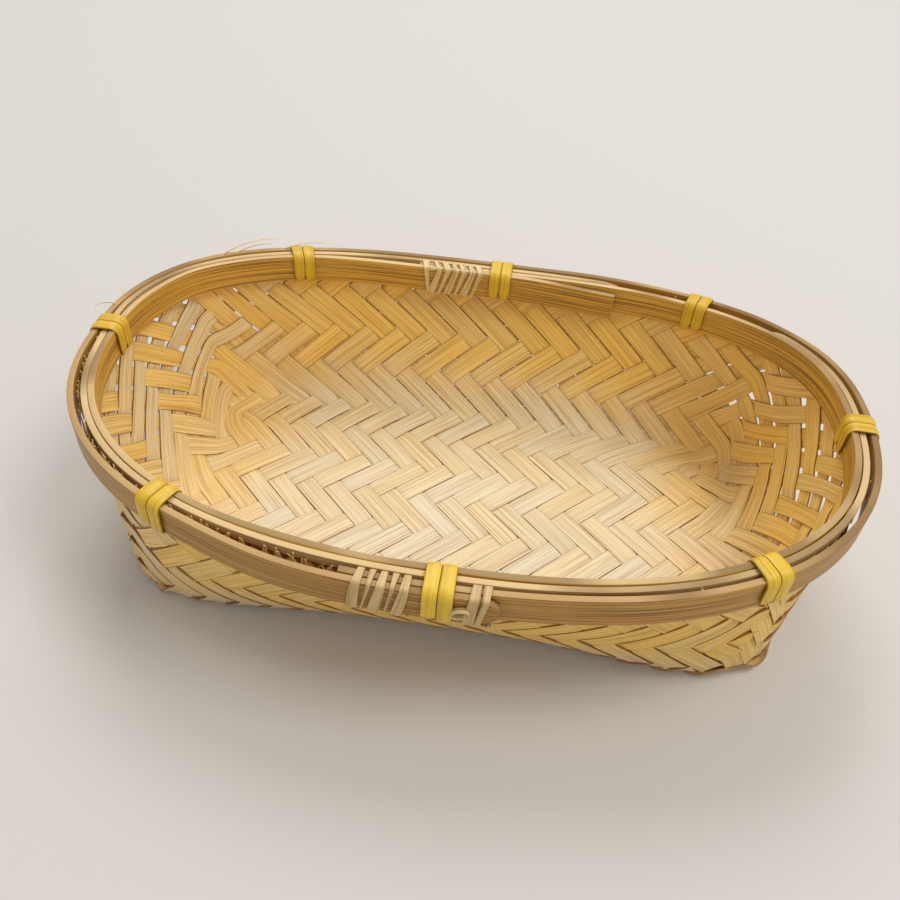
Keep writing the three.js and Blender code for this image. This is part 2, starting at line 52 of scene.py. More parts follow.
# Outline of the mat where the hoops pinch it, and of the flat of its floor.
RIM_LENGTH = 240.2 * MM
RIM_WIDTH = 153 * MM
RIM_SQUARENESS = 2.48
FLOOR_LENGTH = 184 * MM
FLOOR_WIDTH = 86 * MM
FLOOR_SQUARENESS = 5
FRONT_FOOT = (0.2, 0.36)
BACK_FOOT = (0.12, 0.15)
FOOT_SHARPNESS = 3

# Heights. The rim rises towards the tray's ends.
RIM_AT_SIDES = 55.5 * MM
RIM_AT_ENDS = 63 * MM
WALL_CURVE = 2.1

# Stock.
MAT_THICKNESS = 1.6 * MM
HOOP_HEIGHT = 10 * MM
HOOP_THICKNESS = 2 * MM
COVER_HEIGHT = 3 * MM
COVER_THICKNESS = 1.6 * MM
CANE_WIDTH = 3.8 * MM
CANE_THICKNESS = 0.9 * MM
LASHING_THICKNESS = 0.4 * MM
WIDE_TURN = 3 * MM
NARROW_TURN = 1.5 * MM
STRIP_WIDTH = 7.22 * MM
STRIP_THICKNESS = 0.6 * MM

# Clearances, as in the frame.
SEAT_GAP = 0.3 * MM
HOOP_GAP = 1 * MM
LAYER_GAP = 0.45 * MM
TURN_GAP = 0.35 * MM

# Places round the rim, in degrees from +X towards +Y. Each hoop starts at an angle, turns one
# way, lies on one side of the mat, and ends past its own start in a second layer.
TIE_ANGLES = (359, 53.2, 88.8, 125, 179.2, 232.2, 270.5, 312.2)
LAYER_STEP_ANGLE = 20
INNER_HOOP = {
    "start": 103.8, "turn": -1, "side": -1, "overlap": 36, "droop": 1.8 * MM, "rounded": False, "tone_and_painted_light": 0.2,
}
# The outer hoop's deep tone is painted shade: along the front its face looks away from the lamp behind the
# tray.
OUTER_HOOP = {
    "start": 258, "turn": 1, "side": 1, "overlap": 20, "droop": 0, "rounded": True, "tone_and_painted_light": 0.9,
}
# Where the outer hoop springs away from the mat between ties: middle, reach and distance.
SPRUNG = ((206, 24, 0.3 * MM), (246, 12, 0.6 * MM))
COVER_START = 67.8
COVER_SWEEP = 330
BACK_LASHING = (103.2, 92.6, 7)
FRONT_LASHING = (260, 267.2, 5)
FRONT_END_LASHING = (274.4, 277, 2)

# The weave's lattice, in strip pitches. A strips run along +a, to the right and forwards,
# and B strips along +b, to the right and backwards. Each passes over three and under three.
PITCH = 7.4 * MM
MIDDLE_A = 7.823
MIDDLE_B = 1.994
FLOAT_CELLS = 3
STRIP_LIFT = 0.38 * MM
STRIP_TILT = 0.1 * MM
STRIP_CROWN = 0.08 * MM

mat_low, mat_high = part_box("woven_mat")
RIM_MIDDLE = np.array([(mat_low.x + mat_high.x) / 2, (mat_low.y + mat_high.y) / 2])


def smooth(t):
    t = np.clip(t, 0, 1)
    return t * t * (3 - 2 * t)


def ramp(value, start, reach):
    """0 up to a start, then smoothly up to 1 over a reach."""
    return smooth((value - start) / reach)


def unit(v):
    return v / np.linalg.norm(v, axis=-1, keepdims=True)


def walked_along(points):
    """Distance from the first of a run of points to each."""
    return np.concatenate([[0], np.cumsum(np.linalg.norm(np.diff(points, axis=0), axis=1))])


def oval(length, width, squareness, angle):
    c, s = np.cos(angle), np.sin(angle)
    reach = (np.abs(c) ** squareness + np.abs(s) ** squareness) ** (-1 / squareness)
    return np.stack([length * reach * c, width * reach * s], -1) / 2


def outline(level, angle):
    """Plan of the wall at a level: 0 at the edge of the floor, 1 at the rim."""
    foot = np.abs(np.sin(2 * angle)) ** FOOT_SHARPNESS
    front = (np.sin(angle) < 0)[..., None]
    reach = 1 + foot[..., None] * np.where(front, FRONT_FOOT, BACK_FOOT)
    floor = oval(FLOOR_LENGTH, FLOOR_WIDTH, FLOOR_SQUARENESS, angle) * reach
    rim = oval(RIM_LENGTH, RIM_WIDTH, RIM_SQUARENESS, angle)
    return floor + (rim - floor) * np.asarray(level)[..., None] + RIM_MIDDLE


def rim_top(angle):
    mean = (RIM_AT_SIDES + RIM_AT_ENDS) / 2
    return mean + (RIM_AT_ENDS - RIM_AT_SIDES) / 2 * np.cos(2 * angle)


def wall_height(level, angle):
    """Height of the middle of the mat at a level of the wall."""
    floor = MAT_THICKNESS / 2
    return floor + (rim_top(angle) - HOOP_HEIGHT - floor) * level**WALL_CURVE


# How often an interval is halved to find an angle, and a level of the wall.
ANGLE_HALVINGS = 16
LEVEL_HALVINGS = 13


def angle_towards(level, bearing):
    """Angle at which the outline at a level lies at a bearing from the middle."""
    low = np.floor(bearing / (math.pi / 2)) * (math.pi / 2)
    high = low + math.pi / 2
    for _ in range(ANGLE_HALVINGS):
        middle = (low + high) / 2
        plan = outline(level, middle) - RIM_MIDDLE
        ahead = np.mod(np.arctan2(plan[..., 1], plan[..., 0]) - bearing + math.pi, 2 * math.pi) - math.pi
        low = np.where(ahead < 0, middle, low)
        high = np.where(ahead < 0, high, middle)
    return (low + high) / 2


def over_plan(plan):
    """Middle of the mat over points of the plan, between the middle of the floor and the rim."""
    offset = plan - RIM_MIDDLE
    bearing = np.arctan2(offset[..., 1], offset[..., 0])
    distance = np.hypot(offset[..., 0], offset[..., 1])
    low, high = np.zeros(distance.shape), np.ones(distance.shape)
    for _ in range(LEVEL_HALVINGS):
        level = (low + high) / 2
        reach = np.linalg.norm(outline(level, angle_towards(level, bearing)) - RIM_MIDDLE, axis=-1)
        low = np.where(reach < distance, level, low)
        high = np.where(reach < distance, high, level)
    level = np.where(low > 0, (low + high) / 2, 0)
    height = wall_height(level, angle_towards(level, bearing))
    return np.concatenate([plan, height[..., None]], -1)


def lattice_plan(a, b):
    """Plan of a lattice point of the floor."""
    along = (b - MIDDLE_B + a - MIDDLE_A) * PITCH / math.sqrt(2)
    across = (b - MIDDLE_B - a + MIDDLE_A) * PITCH / math.sqrt(2)
    return np.stack([along, across], -1) + RIM_MIDDLE


# The mat folds up at four crossings of the lattice, where a quarter of the weave is
# missing. The wall unrolls into one band: s runs clockwise round the floor's edge and v up
# the wall, both in diagonals of the lattice's cells. Each side starts at a fold corner
# (a, b), and has the lattice's steps along it and up it, and the rim angle over its start.
DIAGONAL = PITCH * math.sqrt(2)
SIDES = (
    {"corner": (-4, -4), "along": (1, 1), "up": (-1, 1), "rim": 147},
    {"corner": (13, 14), "along": (1, -1), "up": (1, 1), "rim": 36.5},
    {"corner": (21, 5), "along": (-1, -1), "up": (1, -1), "rim": -45.3},
    {"corner": (4, -12), "along": (-1, 1), "up": (-1, -1), "rim": -137.8},
)
CORNERS = np.array([side["corner"] for side in SIDES], float)
ALONG = np.array([side["along"] for side in SIDES], float)
UP = np.array([side["up"] for side in SIDES], float)
STEPS = np.roll(CORNERS, -1, 0) - CORNERS
SIDE_LENGTHS = (STEPS * ALONG).sum(1) / 2
SIDE_RISES = (STEPS * UP).sum(1) / 2
SIDE_STARTS = np.concatenate([[0], np.cumsum(SIDE_LENGTHS)])
SIDE_FEET = np.concatenate([[0], np.cumsum(SIDE_RISES)])
BAND_LENGTH = SIDE_STARTS[-1]

FIRST_RIM_ANGLE = math.radians(SIDES[0]["rim"])
rim_turns = np.linspace(0, 2 * math.pi, 1441)
rim_lengths = walked_along(outline(np.ones(rim_turns.shape), FIRST_RIM_ANGLE - rim_turns))
corner_turns = [FIRST_RIM_ANGLE - math.radians(side["rim"]) for side in SIDES] + [2 * math.pi]
RIM_STARTS = np.interp(corner_turns, rim_turns, rim_lengths)

COLUMNS_PER_DIAGONAL = 4
CLIMB_STEP = 1 * MM
CLIMB_STOPS = 100
WALL_STOPS = 41


def wall_columns(k):
    """Points of one side of the wall, in columns from its foot to above its rim, at even
    steps along the surface."""
    share = np.linspace(0, 1, math.ceil(SIDE_LENGTHS[k] * COLUMNS_PER_DIAGONAL) + 1)
    foot = CORNERS[k] + STEPS[k] * share[:, None]
    start = lattice_plan(foot[:, 0], foot[:, 1])
    length = RIM_STARTS[k] + (RIM_STARTS[k + 1] - RIM_STARTS[k]) * share
    rim_angle = FIRST_RIM_ANGLE - np.interp(length, rim_lengths, rim_turns)
    end = outline(np.ones(share.shape), rim_angle)
    ways = np.linspace(0, 1, WALL_STOPS)[None, :, None]
    points = over_plan(start[:, None] + (end - start)[:, None] * ways)
    above = points[:, -1:] + np.array([0, 0, CLIMB_STOPS * CLIMB_STEP])
    points = np.concatenate([points, above], 1)
    climbs = np.arange(CLIMB_STOPS) * CLIMB_STEP
    columns = np.empty((len(share), CLIMB_STOPS, 3))
    for i in range(len(share)):
        walked = walked_along(points[i])
        for axis in range(3):
            columns[i, :, axis] = np.interp(climbs, walked, points[i, :, axis])
    return columns


side_columns = [wall_columns(k) for k in range(4)]
COLUMN_COUNTS = np.array([len(columns) for columns in side_columns])
COLUMN_STARTS = np.concatenate([[0], np.cumsum(COLUMN_COUNTS)])
WALL = np.concatenate(side_columns)


def side_of(s):
    return np.clip(np.searchsorted(SIDE_STARTS, np.mod(s, BAND_LENGTH), side="right") - 1, 0, 3)


def band_place(s, v):
    """Middle of the mat at points of the band."""
    k = side_of(s)
    share = (np.mod(s, BAND_LENGTH) - SIDE_STARTS[k]) / SIDE_LENGTHS[k]
    column = share * (COLUMN_COUNTS[k] - 1)
    row = np.maximum(v - SIDE_FEET[k] - SIDE_RISES[k] * share, 0) * DIAGONAL / CLIMB_STEP
    i = np.clip(column.astype(int), 0, COLUMN_COUNTS[k] - 2)
    j = np.clip(row.astype(int), 0, CLIMB_STOPS - 2)
    x = (column - i)[..., None]
    y = (row - j)[..., None]
    i = i + COLUMN_STARTS[k]
    low = WALL[i, j] * (1 - x) + WALL[i + 1, j] * x
    high = WALL[i, j + 1] * (1 - x) + WALL[i + 1, j + 1] * x
    return low * (1 - y) + high * y


def band_normal(s, v):
    reach = 0.2
    ahead = band_place(s + reach, v) - band_place(s - reach, v)
    up = band_place(s, v + reach) - band_place(s, v - reach)
    return unit(np.cross(ahead, up))


def floor_place(a, b):
    return over_plan(lattice_plan(a, b))


def floor_normal(a, b):
    reach = 0.2
    along_a = floor_place(a + reach, b) - floor_place(a - reach, b)
    along_b = floor_place(a, b + reach) - floor_place(a, b - reach)
    return unit(np.cross(along_a, along_b))


def past_edges(points):
    """How far lattice points lie beyond each side's edge of the floor."""
    offset = points[:, None] - CORNERS
    s = (offset * ALONG).sum(-1) / 2
    v = (offset * UP).sum(-1) / 2
    return v - SIDE_RISES * s / SIDE_LENGTHS


def to_band(points, k):
    """Band coordinates of lattice points, carried straight on over one side's edge."""
    offset = points - CORNERS[k]
    s = SIDE_STARTS[k] + (offset * ALONG[k]).sum(-1) / 2
    v = SIDE_FEET[k] + (offset * UP[k]).sum(-1) / 2
    return s, v


# Stops along a strip in each cell, the share of a cell in which it changes between over and
# under, the most cells on either side of its middle, and the passes that round its folds.
CELL_STOPS = np.array([0, 0.13, 0.3, 0.5, 0.7, 0.87])
CHANGE = 0.17
MOST_CELLS = 22
ROUNDINGS = 3


def lane_points(family, lane, run):
    middle = np.full(run.shape, lane + 0.5)
    return np.stack([run, middle] if family == "A" else [middle, run], -1)


def lane_centre(family, lane):
    """Where the middle of a strip's run over the floor lies."""
    run = np.arange(-60, 80, 0.25)
    inside = run[(past_edges(lane_points(family, lane, run)) <= 0).all(-1)]
    return (inside.min() + inside.max()) / 2


def strip_ends(family, lane, run):
    """Lattice points along a strip, and for each of its two ends, which of them lie out on
    the wall and the side that they go up."""
    points = lane_points(family, lane, run)
    past = past_edges(points)
    centre = lane_centre(family, lane)
    ends = []
    for way in (-1, 1):
        out = ((run - centre) * way > 0) & (past.max(-1) > 1e-9)
        first_out = np.argmin(np.where(out, np.abs(run - centre), np.inf))
        ends.append((out, int(np.argmax(past[first_out]))))
    return points, ends


def strip_path(family, lane, run):
    """Places and normals of the middle of the mat along a strip."""
    points, ends = strip_ends(family, lane, run)
    place = floor_place(points[:, 0], points[:, 1])
    normal = floor_normal(points[:, 0], points[:, 1])
    for out, k in ends:
        s, v = to_band(points[out], k)
        place[out] = band_place(s, v)
        normal[out] = band_normal(s, v)
    return place, normal


def over_or_under(family, lane, cells):
    """+1 where the strip shows inside the tray in a cell, and -1 where it passes under.
    The twill follows each side's own lattice, and the families change places at corners."""
    points, ends = strip_ends(family, lane, cells + 0.5)
    is_a = np.full(cells.shape, family == "A")
    for out, k in ends:
        s, v = to_band(points, k)
        s = np.mod(s + 1e-6, BAND_LENGTH)
        j = side_of(s)
        chart = CORNERS[j] + (s - SIDE_STARTS[j])[:, None] * ALONG[j] + (v - SIDE_FEET[j])[:, None] * UP[j]
        is_a = np.where(out & ((j - k) % 2 == 1), family != "A", is_a)
        points = np.where(out[:, None], chart, points)
    a_on_top = np.mod(np.floor(points[:, 0]) - np.floor(points[:, 1]), 2 * FLOAT_CELLS) < FLOAT_CELLS
    return np.where(a_on_top == is_a, 1.0, -1.0)


def rim_frame(angle, along=0.0):
    """Points on the rim at distances along it from an angle in degrees, the way out of the
    tray there, and the height of the hoops' top edge."""
    nudge = 1e-4
    start = np.radians(np.asarray(angle, float)) + np.zeros(np.shape(along))
    level = np.ones(start.shape)
    speed = np.linalg.norm(outline(level, start + nudge) - outline(level, start - nudge), axis=-1)
    turn = start + along * 2 * nudge / speed
    ahead = unit(outline(level, turn + nudge) - outline(level, turn - nudge))
    out = np.stack([ahead[..., 1], -ahead[..., 0]], -1)
    return outline(level, turn), out, rim_top(turn)


def rim_place(frame_at, outward, height):
    point, out, top = frame_at
    plan = point + out * np.asarray(outward)[..., None]
    return np.concatenate([plan, (top + height)[..., None]], -1)


def bent_strip(name, points, lengths, breadths, thickness, materials, tone_and_painted_light, bevel=0):
    """A flat strip through a grid of points, listed along it and then across it. Its UV map
    holds its length and breadth in metres."""
    rows, columns = points.shape[:2]
    bpy.ops.mesh.primitive_grid_add(x_subdivisions=rows - 1, y_subdivisions=columns - 1, size=1)
    strip = bpy.context.object
    strip.name = name
    mesh = strip.data
    flat = np.empty(len(mesh.vertices) * 3)
    mesh.vertices.foreach_get("co", flat)
    flat = flat.reshape(-1, 3)
    i = np.rint((flat[:, 0] + 0.5) * (rows - 1)).astype(int)
    j = np.rint((flat[:, 1] + 0.5) * (columns - 1)).astype(int)
    mesh.vertices.foreach_set("co", points[i, j].ravel())
    corners = np.empty(len(mesh.loops), int)
    mesh.loops.foreach_get("vertex_index", corners)
    grain = np.stack([lengths[i], breadths[j]], -1)
    mesh.uv_layers[0].data.foreach_set("uv", grain[corners].ravel())
    shade = mesh.attributes.new("tone_and_painted_light", "FLOAT", "POINT")
    shade.data.foreach_set("value", (np.zeros(rows) + tone_and_painted_light)[i])
    for material in materials:
        mesh.materials.append(material)
    wall = strip.modifiers.new("wall", "SOLIDIFY")
    wall.thickness = thickness
    wall.offset = 0
    wall.material_offset_rim = len(materials) - 1
    bpy.ops.object.modifier_apply(modifier=wall.name)
    if bevel:
        edges = strip.modifiers.new("edges", "BEVEL")
        edges.width = bevel
        edges.segments = 2
        edges.limit_method = "ANGLE"
        edges.angle_limit = math.radians(40)
        bpy.ops.object.modifier_apply(modifier=edges.name)
    bpy.ops.object.shade_smooth_by_angle(angle=math.radians(35))
    return strip


def dress(piece, slot, *nodes):
    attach(piece, "root")
    if nodes:
        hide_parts(*nodes)


def linear(hex_colour):
    values = [int(hex_colour[i : i + 2], 16) / 255 for i in (1, 3, 5)]
    return [v / 12.92 if v <= 0.04045 else ((v + 0.055) / 1.055) ** 2.4 for v in values] + [1]


def node(tree, kind, links, **settings):
    """Adds a node, sets its properties and its inputs' values, and links its inputs."""
    made = tree.nodes.new(kind)
    for key, value in settings.items():
        if hasattr(made, key):
            setattr(made, key, value)
        else:
            made.inputs[key.replace("_", " ")].default_value = value
    for key, source in links.items():
        tree.links.new(source, made.inputs[key])
    return made


# The noise values over which a fibre and a streak deepen, and the share of a strip's half
# width at which painted shade starts to darken its edge, and how much it does.
FIBRE_RANGE = (0.49, 0.61)
STREAK_RANGE = (0.45, 0.75)
EDGE_SHADE_FROM = 0.94
EDGE_SHADE_DEPTH = 0.85


def bamboo(name, pale, deep, line, roughness, specular, fibre, streak, relief, edge_shade=None, half_width=None):
    """Split bamboo: pale or deep by the tone attribute of each piece, which holds its own tone and,
    on the woven strips and the hoops, painted glow and shade as well; with long straight fibres
    and broader streaks drawn in the line's colour, and where given, a colour along its edges that
    paints the shade there. Fibres and streaks are each given by their length, breadth and depth of colour."""
    material = bpy.data.materials.new(name)
    material.use_nodes = True
    tree = material.node_tree
    shader = tree.nodes["Principled BSDF"]
    shader.inputs["Roughness"].default_value = roughness
    shader.inputs["Specular IOR Level"].default_value = specular
    place = node(tree, "ShaderNodeUVMap", {}).outputs[0]
    tone_and_painted_light = node(tree, "ShaderNodeAttribute", {}, attribute_name="tone_and_painted_light")
    colour = node(tree, "ShaderNodeMix", {0: tone_and_painted_light.outputs["Fac"]}, data_type="RGBA")
    colour.inputs[6].default_value = linear(pale)
    colour.inputs[7].default_value = linear(deep)
    result = colour.outputs[2]
    patterns = []
    marks = []
    for (length, breadth, depth), (low, high) in ((fibre, FIBRE_RANGE), (streak, STREAK_RANGE)):
        spot = node(tree, "ShaderNodeMapping", {"Vector": place}, Scale=(1 / length, 1 / breadth, 1))
        noise = node(tree, "ShaderNodeTexNoise", {"Vector": spot.outputs[0]}, Scale=1.0, Detail=1.5)
        share = node(
            tree, "ShaderNodeMapRange", {"Value": noise.outputs[0]}, From_Min=low, From_Max=high, To_Max=depth
        )
        patterns.append(noise)
        marks.append((share, line))
    if half_width:
        # Painted shade along the edges, where strips meet and the slits between them fall dark.
        split = node(tree, "ShaderNodeSeparateXYZ", {0: place})
        off = node(tree, "ShaderNodeMath", {0: split.outputs[1]}, operation="ABSOLUTE")
        near_edge = node(
            tree,
            "ShaderNodeMapRange",
            {"Value": off.outputs[0]},
            From_Min=half_width * EDGE_SHADE_FROM,
            From_Max=half_width,
            To_Max=EDGE_SHADE_DEPTH,
        )
        marks.append((near_edge, edge_shade))
    for share, ink in marks:
        darker = node(tree, "ShaderNodeMix", {0: share.outputs[0], 6: result}, data_type="RGBA")
        darker.inputs[7].default_value = linear(ink)
        result = darker.outputs[2]
    tree.links.new(result, shader.inputs["Base Color"])
    bump = node(tree, "ShaderNodeBump", {"Height": patterns[0].outputs[0]}, Strength=0.8, Distance=relief)
    tree.links.new(bump.outputs[0], shader.inputs["Normal"])
    return material


# Inner bamboo, split and scraped: matt and pale cream, a little deeper by each strip's own tone.
# Its deep golden is mostly painted light: glow of light through the thin strips where they stand
# up in the wall and at the folds, and warm shade towards the back of the floor. Its fibres lie a
# third of a millimetre apart, and painted shade darkens its split edges.
weave_bamboo = bamboo(
    "scraped_bamboo", "#E3DABF", "#FDD066", "#A87822", 0.55, 0.35,
    (40 * MM, 0.3 * MM, 0.5), (90 * MM, 1.6 * MM, 0.3), 0.1 * MM, "#8C5408", STRIP_WIDTH / 2,
)
# The hoops show bamboo close under the skin: harder, deeper and a little shiny, with long
# dense fibres 0.4 mm apart.
skin_bamboo = bamboo(
    "bamboo_under_skin", "#E0AE44", "#BC8C42", "#6A4210", 0.42, 0.4,
    (60 * MM, 0.42 * MM, 0.75), (120 * MM, 1.3 * MM, 0.35), 0.12 * MM,
)
# A planed edge: paler than the face, because it cuts through soft inner bamboo.
edge_bamboo = bamboo(
    "planed_bamboo_edge", "#E4C48C", "#C09A62", "#6E4A20", 0.6, 0.3,
    (50 * MM, 0.4 * MM, 0.6), (80 * MM, 1.1 * MM, 0.4), 0.1 * MM,
)
# Cane dyed yellow: its smooth skin keeps a soft sheen and only faint lines; painted shade darkens its edges.
cane = bamboo(
    "dyed_cane", "#EAC236", "#D4A41C", "#96700A", 0.42, 0.4,
    (30 * MM, 0.45 * MM, 0.4), (50 * MM, 1.6 * MM, 0.3), 0.04 * MM, "#8A660A", CANE_WIDTH / 2,
)
# Thin shavings of the same bamboo as the weave, smoother where the knife left them.
lash_bamboo = bamboo(
    "bamboo_shaving", "#F2DCA4", "#BE955A", "#8A6028", 0.5, 0.35,
    (25 * MM, 0.5 * MM, 0.5), (40 * MM, 1.2 * MM, 0.3), 0.05 * MM,
)

# Woven strips. Each varies at a few knots along it: where it is loose it is narrower and
# wanders, and elsewhere on the wall it is pressed a little wider. Its ends stop a drop below
# the rim, so that their corners clear the cover strip.
ACROSS = np.array([-1, -0.4, 0.4, 1])
END_DROP = COVER_HEIGHT + 2 * SEAT_GAP + STRIP_WIDTH / 2 / math.sqrt(2) + 0.3 * MM
KNOTS = 12
MOST_SLACK = 0.28
MOST_FULLER = 0.08
WIDTH_SPREAD = 0.016
TIGHT_WANDER = 0.11 * MM
LOOSE_WANDER = 0.5 * MM
PAPER_GAP = 0.05 * MM
GRAIN_SPREAD = 5


def looseness(place):
    """1 up on the walls at the tray's two ends, and 0 where the weave is tight."""
    return ramp(np.abs(place[:, 0]), 72 * MM, 25 * MM) * ramp(place[:, 2], 12 * MM, 12 * MM)


def strip_tone_and_painted_light(place, own):
    """Each strip's own tone with painted light added: golden on the walls and at the folds of the
    two ends, which paints the glow of light through the thin strips, and a little towards the back
    of the floor, which paints warm shade. On the left end the painted glow is weaker, and the
    strips that climb away from the front are paler than those that cross them."""
    upright = ramp(place[:, 2], 1 * MM, 22 * MM)
    left_end = upright * ramp(-place[:, 0], 70 * MM, 25 * MM)
    folded = (1 - upright) * ramp(np.abs(place[:, 0]), 62 * MM, 25 * MM)
    back = (1 - upright) * ramp(place[:, 1], -15 * MM, 45 * MM)
    climbing = np.sign(np.gradient(place[:, 1]) * np.gradient(place[:, 2]))
    return own + 0.72 * upright + 0.35 * folded + 0.13 * back - (0.3 + 0.22 * climbing) * left_end


def weave_strip(family, lane, number):
    centre = lane_centre(family, lane)
    cells = np.arange(math.floor(centre) - MOST_CELLS, math.floor(centre) + MOST_CELLS + 1)
    run = (cells[:, None] + CELL_STOPS).ravel()
    place, normal = strip_path(family, lane, run)
    bearing = np.arctan2(place[:, 1] - RIM_MIDDLE[1], place[:, 0] - RIM_MIDDLE[0])
    end_height = rim_top(angle_towards(np.ones(bearing.shape), bearing)) - END_DROP
    too_high = place[:, 2] > end_height
    first = np.nonzero(too_high & (run < centre))[0].max() + 1
    last = np.nonzero(too_high & (run > centre))[0].min()
    state = over_or_under(family, lane, cells)
    held = np.stack([cells + CHANGE, cells + 1 - CHANGE], -1).ravel()
    lift = np.interp(run, held, np.repeat(state, 2))
    for _ in range(ROUNDINGS):
        for values in (place, normal):
            values[1:-1] = values[:-2] * 0.25 + values[1:-1] * 0.5 + values[2:] * 0.25
    place, normal, lift, run = (values[first:last] for values in (place, normal, lift, run))
    normal = unit(normal)
    side = unit(np.cross(normal, np.gradient(place, axis=0)))
    knots = np.linspace(run[0], run[-1], KNOTS)
    loose = looseness(place)
    slack = np.interp(run, knots, chance.uniform(0, MOST_SLACK, KNOTS)) * loose
    fuller = MOST_FULLER * ramp(place[:, 2], 4 * MM, 35 * MM) * (1 - loose)
    width = STRIP_WIDTH * (1 - abs(chance.normal(0, WIDTH_SPREAD)) - slack + fuller)
    wander = np.interp(run, knots, chance.normal(0, 1, KNOTS)) * (TIGHT_WANDER + LOOSE_WANDER * loose)
    middle = place + normal * (lift * STRIP_LIFT)[:, None] + side * wander[:, None]
    rise = STRIP_CROWN * (1 - ACROSS**2) + STRIP_TILT * ACROSS
    points = middle[:, None] + side[:, None] * (ACROSS * width[:, None] / 2)[:, :, None]
    points = points + normal[:, None] * rise[:, None]
    points[:, :, 2] = np.maximum(points[:, :, 2], STRIP_THICKNESS / 2 + PAPER_GAP)
    name = f"weave_{family.lower()}_{number:02d}"
    lengths = walked_along(place) + chance.uniform(0, GRAIN_SPREAD)
    # Each strip's own random tone, with painted glow and shade laid over it.
    tone_and_painted_light = strip_tone_and_painted_light(place, chance.uniform(0.02, 0.28))
    strip = bent_strip(
        name, points, lengths, ACROSS * STRIP_WIDTH / 2, STRIP_THICKNESS, [weave_bamboo], tone_and_painted_light
    )
    dress(strip, "bamboo_weave", "woven_mat")


for family, lanes in (("A", range(-12, 14)), ("B", range(-4, 21))):
    for number, lane in enumerate(lanes):
        weave_strip(family, lane, number + 1)

# Hoops and the strip over the mat's edge.
HOOP_FIRST_FACE = MAT_THICKNESS / 2 + HOOP_GAP


def doubled(hoop, angle):
    """Share of the second layer's step that a hoop has taken at an angle."""
    past = (hoop["turn"] * (angle - hoop["start"])) % 360
    if past <= hoop["overlap"]:
        return 1.0
    return float(ramp(past, 360 - LAYER_STEP_ANGLE, LAYER_STEP_ANGLE))


def last_face(hoop, angle):
    return HOOP_FIRST_FACE + HOOP_THICKNESS + doubled(hoop, angle) * (HOOP_THICKNESS + LAYER_GAP)


def upright_strip(name, at, outward, top, height, fullness, thickness, materials, tone_and_painted_light, bevel, *nodes):
    """A strip on edge, bent round the rim. Its height shrinks to its fullness about its
    middle, which rounds off an end."""
    shares = np.array([0, 0.15, 0.5, 0.85, 1])
    rows = [rim_place(at, outward, top - height / 2 + (share - 0.5) * height * fullness) for share in shares]
    points = np.stack(rows, 1)
    piece = bent_strip(
        name, points, walked_along(points[:, 2]), (shares - 0.5) * height, thickness, materials, tone_and_painted_light, bevel
    )
    dress(piece, "bamboo_hoop", *nodes)


# A strip's travel round the rim, in degrees: stops at even steps, and closer ones over its
# last few degrees, where it may be rounded off.
STOP_STEP = 2
END_TRAVEL = 2.4
END_STOPS = np.array([END_TRAVEL, 1.6, 0.9, 0.4, 0.1, 0])
LAST_EVEN_STOP = 3
TIP_FULLNESS = 0.15

RIM_KNOTS = 40
RIM_WAVE = 0.12 * MM
HOOP_BEVEL = 0.6 * MM


def rim_stops(first, sweep):
    return np.concatenate([np.arange(first, sweep - LAST_EVEN_STOP, STOP_STEP), sweep - END_STOPS])


def rounded_end(left_to_go):
    """Fullness of a strip towards an end that is rounded off."""
    return np.sqrt(np.clip(TIP_FULLNESS + (1 - TIP_FULLNESS) * left_to_go / END_TRAVEL, 0, 1))


def hoop_piece(name, hoop, cad_node):
    sweep = 360 + hoop["overlap"]
    travelled = rim_stops(0, sweep)
    fullness = rounded_end(sweep - travelled) if hoop["rounded"] else np.ones(travelled.shape)
    second_layer = ramp(travelled, 360 - LAYER_STEP_ANGLE, LAYER_STEP_ANGLE)
    outward = HOOP_FIRST_FACE + HOOP_THICKNESS / 2 + second_layer * (HOOP_THICKNESS + LAYER_GAP)
    half = hoop["overlap"] / 2
    sag = hoop["droop"] * ramp(travelled, 360 + half, half)
    waves = np.interp(travelled, np.linspace(0, sweep, RIM_KNOTS), chance.normal(0, RIM_WAVE, RIM_KNOTS))
    angle = hoop["start"] + hoop["turn"] * travelled
    if hoop["side"] > 0:
        for middle, reach, distance in SPRUNG:
            away = np.abs(np.mod(angle - middle + 180, 360) - 180)
            outward = outward + distance * smooth(1 - away / reach)
    at = rim_frame(angle)
    materials = [skin_bamboo, edge_bamboo]
    upright_strip(
        name, at, hoop["side"] * outward, waves - sag, HOOP_HEIGHT, fullness, HOOP_THICKNESS,
        materials, hoop["tone_and_painted_light"], HOOP_BEVEL, cad_node,
    )


hoop_piece("inner_hoop_bent", INNER_HOOP, "inner_hoop")
hoop_piece("outer_hoop_bent", OUTER_HOOP, "outer_hoop")

# The cover strip wanders between the hoops, by its distance from the middle at a few angles:
# nearer the outer one at the back left, and against the inner one along the front. It is
# split and ragged, so it takes up a little more room than its solid.
COVER_SHIFTS = (
    (100, 0), (135, 0.4 * MM), (150, 0.6 * MM), (170, 0.5 * MM),
    (188, -0.7 * MM), (250, -0.7 * MM), (280, -0.4 * MM), (400, -0.5 * MM),
)
COVER_RAGGEDNESS = 0.3 * MM
COVER_BEVEL = 0.4 * MM
cover_travel = np.concatenate([END_STOPS[::-1], rim_stops(2 * STOP_STEP, COVER_SWEEP)])
cover_angle = COVER_START + cover_travel
cover_shift = np.interp(cover_angle, *np.transpose(COVER_SHIFTS))
cover_fullness = rounded_end(cover_travel) * rounded_end(COVER_SWEEP - cover_travel)
upright_strip(
    "edge_cover_bent", rim_frame(cover_angle), cover_shift, -SEAT_GAP, COVER_HEIGHT, cover_fullness,
    COVER_THICKNESS + COVER_RAGGEDNESS, [edge_bamboo], 0.2, COVER_BEVEL, "edge_cover_strip",
)

